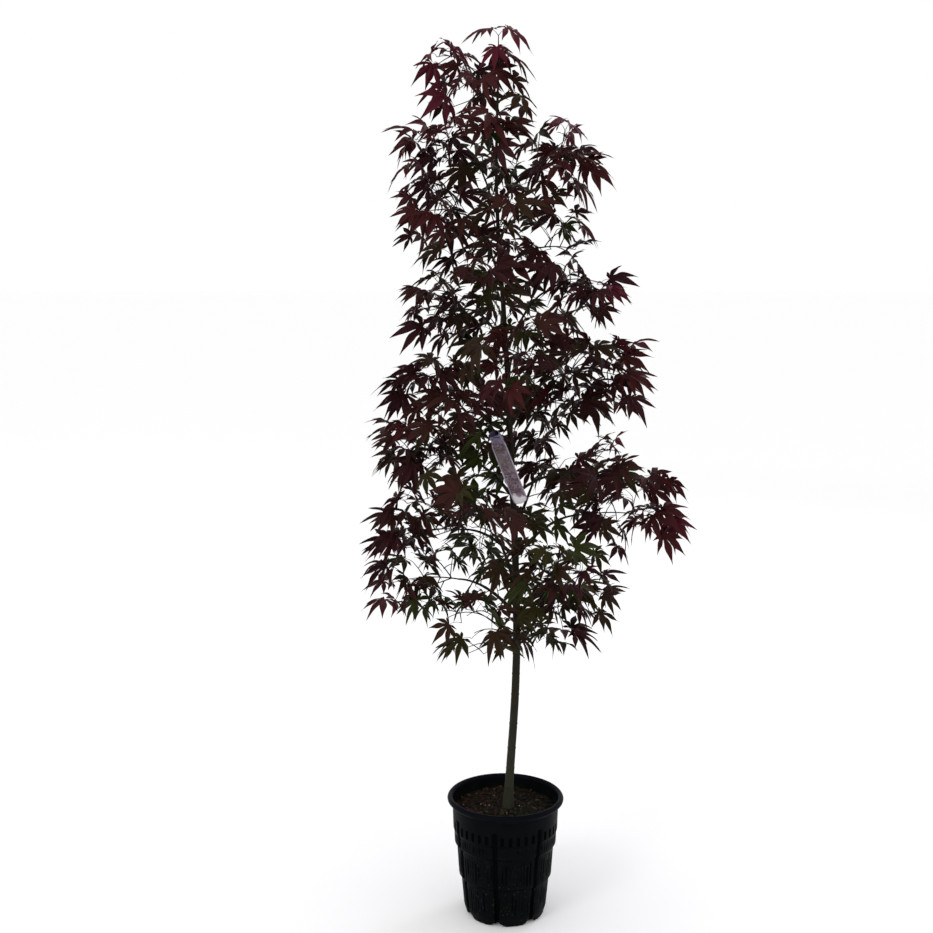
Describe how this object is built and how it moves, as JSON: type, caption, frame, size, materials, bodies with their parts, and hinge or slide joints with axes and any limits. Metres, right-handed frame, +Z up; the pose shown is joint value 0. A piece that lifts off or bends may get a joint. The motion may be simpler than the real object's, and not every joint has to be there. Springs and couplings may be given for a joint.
{
  "type": "potted Japanese maple tree",
  "caption": "Upright red-leaved Japanese maple on a slender trunk, standing in a ribbed black nursery pot.",
  "frame": {"origin": "centre of the pot's flat underside", "axes": "+Z up the trunk, -Y towards the viewer of the picture, +X to the viewer's right"},
  "size_m": [0.7797, 0.5505, 2.09],
  "materials": {
    "pot_plastic": "black moulded plastic, slightly glossy and dusty",
    "potting_mix": "loose dark potting mix with bark chips",
    "bark": "smooth olive-brown bark",
    "leaf_burgundy": "dark burgundy leaves",
    "leaf_bronze": "bronze leaves",
    "leaf_olive": "olive-green leaves",
    "tag_plastic": "thin weathered plastic strip, blank"
  },
  "bodies": {
    "root": {"bough_high_side_a": "bark", "bough_high_side_b": "bark", "bough_low_side_a": "bark", "bough_low_side_b": "bark", "bough_middle_front_a": "bark", "bough_middle_front_b": "bark", "bough_middle_side_a": "bark", "bough_middle_side_b": "bark", "bough_shoulder_side_a": "bark", "bough_shoulder_side_b": "bark", "bough_skirt_front_a": "bark", "bough_skirt_front_b": "bark", "bough_skirt_side_a": "bark", "bough_skirt_side_b": "bark", "bough_tag_a": "bark", "bough_tag_b": "bark", "bough_upper_side_a": "bark", "bough_upper_side_b": "bark", "bough_waist_front_a": "bark", "bough_waist_front_b": "bark", "bough_waist_side_a": "bark", "bough_waist_side_b": "bark", "foliage_high_front_a": "leaf_burgundy", "foliage_high_front_b": "leaf_burgundy", "foliage_high_side_a": "leaf_burgundy", "foliage_high_side_b": "leaf_burgundy", "foliage_leader": "leaf_burgundy", "foliage_low_front_a": "leaf_bronze", "foliage_low_front_b": "leaf_bronze", "foliage_low_side_a": "leaf_burgundy", "foliage_low_side_b": "leaf_burgundy", "foliage_middle_front_a": "leaf_olive", "foliage_middle_front_b": "leaf_olive", "foliage_middle_side_a": "leaf_burgundy", "foliage_middle_side_b": "leaf_burgundy", "foliage_shoulder_front_a": "leaf_bronze", "foliage_shoulder_front_b": "leaf_bronze", "foliage_shoulder_side_a": "leaf_burgundy", "foliage_shoulder_side_b": "leaf_burgundy", "foliage_skirt_front_a": "leaf_olive", "foliage_skirt_front_b": "leaf_olive", "foliage_skirt_side_a": "leaf_burgundy", "foliage_skirt_side_b": "leaf_burgundy", "foliage_tag_a": "leaf_olive", "foliage_tag_b": "leaf_olive", "foliage_top_side_a": "leaf_burgundy", "foliage_top_side_b": "leaf_burgundy", "foliage_upper_front_a": "leaf_bronze", "foliage_upper_front_b": "leaf_bronze", "foliage_upper_side_a": "leaf_burgundy", "foliage_upper_side_b": "leaf_burgundy", "foliage_waist_front_a": "leaf_bronze", "foliage_waist_front_b": "leaf_bronze", "foliage_waist_side_a": "leaf_burgundy", "foliage_waist_side_b": "leaf_burgundy", "pot": "pot_plastic", "soil": "potting_mix", "tag": "tag_plastic", "trunk": "bark"}
  },
  "joints": []
}
